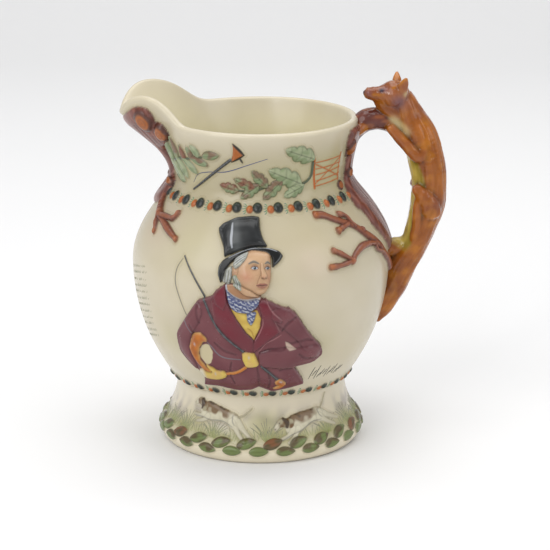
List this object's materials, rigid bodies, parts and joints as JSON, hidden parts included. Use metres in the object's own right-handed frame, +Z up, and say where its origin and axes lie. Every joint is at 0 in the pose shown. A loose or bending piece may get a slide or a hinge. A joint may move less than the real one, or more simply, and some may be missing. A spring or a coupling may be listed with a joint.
{
  "type": "musical jug",
  "caption": "Earthenware pitcher with hollow foot for a musical movement, round belly, pouring lip, fox handle and moulded relief of a huntsman, hounds and oak sprays.",
  "frame": {"origin": "on the table, under the middle of the whole object's box", "axes": "+Z up; the pouring lip points to -X, the handle to +X, the figure faces -Y"},
  "size_m": [0.1714, 0.141, 0.1959],
  "materials": {
    "glazed_earthenware": "cream glazed earthenware, hand painted"
  },
  "bodies": {
    "root": {"jug": "glazed_earthenware"}
  },
  "joints": []
}
